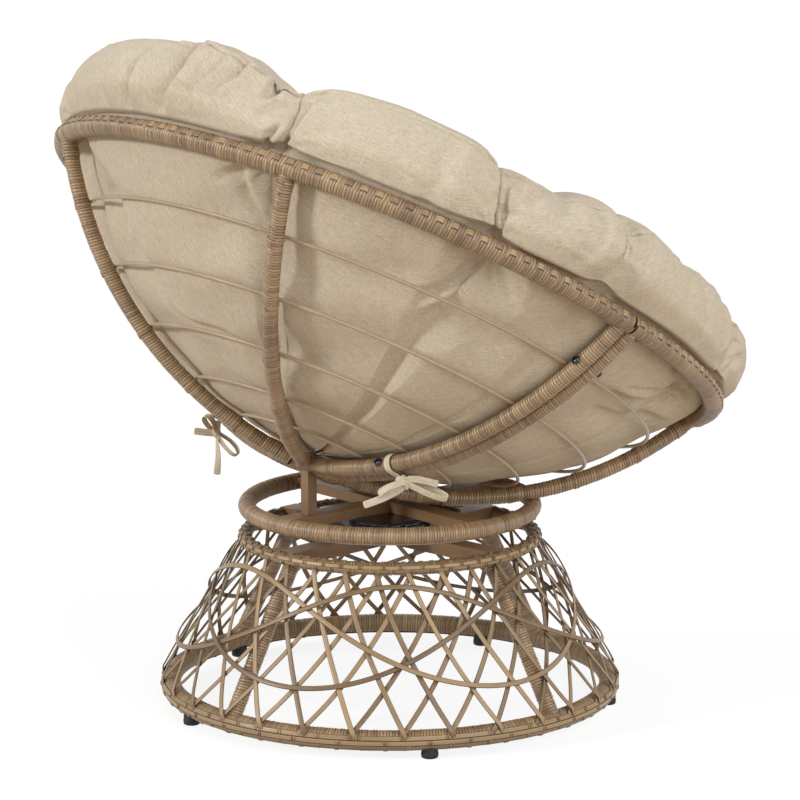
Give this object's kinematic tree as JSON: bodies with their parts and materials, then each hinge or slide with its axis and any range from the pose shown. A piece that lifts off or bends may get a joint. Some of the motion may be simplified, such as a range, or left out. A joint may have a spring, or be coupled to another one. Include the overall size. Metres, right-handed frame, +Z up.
{
  "type": "papasan chair",
  "caption": "Round wicker bowl lounge chair with a thick tufted cushion tied into it, turning on a ball-bearing swivel over a flared woven skirt base.",
  "frame": {"origin": "middle of the footprint's box, on the floor", "axes": "+Z up, the chair faces -Y, and the sitter's left is +X"},
  "size_m": [1.0358, 0.9354, 0.963],
  "materials": {
    "wicker_wrap": "satin",
    "dark_wicker": "satin",
    "flat_strand": "satin",
    "rod": "satin",
    "brown_paint": "satin",
    "black_steel": "gloss",
    "bright_steel": "satin",
    "glide": "matte",
    "cushion_fabric": "matte",
    "tie_tape": "matte"
  },
  "bodies": {
    "base": {"base_bottom_ring": "dark_wicker", "base_top_ring": "dark_wicker", "leg_1": "wicker_wrap", "leg_2": "wicker_wrap", "leg_3": "wicker_wrap", "leg_4": "wicker_wrap", "lower_cross": "brown_paint", "foot_glide_1": "glide", "foot_glide_2": "glide", "foot_glide_3": "glide", "foot_glide_4": "glide", "foot_glide_5": "glide", "skirt_inner_strands": "flat_strand", "skirt_outer_strands": "flat_strand", "skirt_wave_1": "flat_strand", "skirt_wave_2": "flat_strand", "skirt_wave_3": "flat_strand", "lower_swivel_plate": "black_steel", "swivel_pivot": "bright_steel"},
    "cage": {"ball_cage": "bright_steel"},
    "seat": {"upper_swivel_plate": "black_steel", "upper_cross": "brown_paint", "swivel_ring": "wicker_wrap", "rear_post": "brown_paint", "seat_bolt_left": "black_steel", "seat_bolt_right": "black_steel", "rim_back": "wicker_wrap", "seam_tube_back": "wicker_wrap", "back_right_rib": "wicker_wrap", "back_left_rib": "wicker_wrap", "rod_back_1": "rod", "rod_back_2": "rod", "rod_back_3": "rod", "rod_back_4": "rod", "rod_back_5": "rod", "rim_front": "wicker_wrap", "seam_tube_front": "wicker_wrap", "front_right_rib": "wicker_wrap", "front_left_rib": "wicker_wrap", "rod_front_1": "rod", "rod_front_2": "rod", "rod_front_3": "rod", "rod_front_4": "rod", "rod_front_5": "rod", "seam_bolt_1": "black_steel", "seam_bolt_2": "black_steel", "seam_bolt_3": "black_steel", "seam_bolt_4": "black_steel", "seam_nut_1": "black_steel", "seam_nut_2": "black_steel", "seam_nut_3": "black_steel", "seam_nut_4": "black_steel", "cushion": "cushion_fabric", "tie_right": "tie_tape", "tie_left": "tie_tape"}
  },
  "joints": [
    {"name": "seat_swivel", "type": "hinge", "parent": "base", "child": "seat", "pos_m": [0.00008, 0.01956, 0.2635], "axis": [0, 0, 1], "continuous": true},
    {"name": "cage_roll", "type": "hinge", "parent": "base", "child": "cage", "pos_m": [0.00008, 0.01956, 0.2635], "axis": [0, 0, 1], "continuous": true}
  ],
  "couplings": [
    {"joint": "cage_roll", "follows": "seat_swivel", "ratio": 0.5}
  ]
}
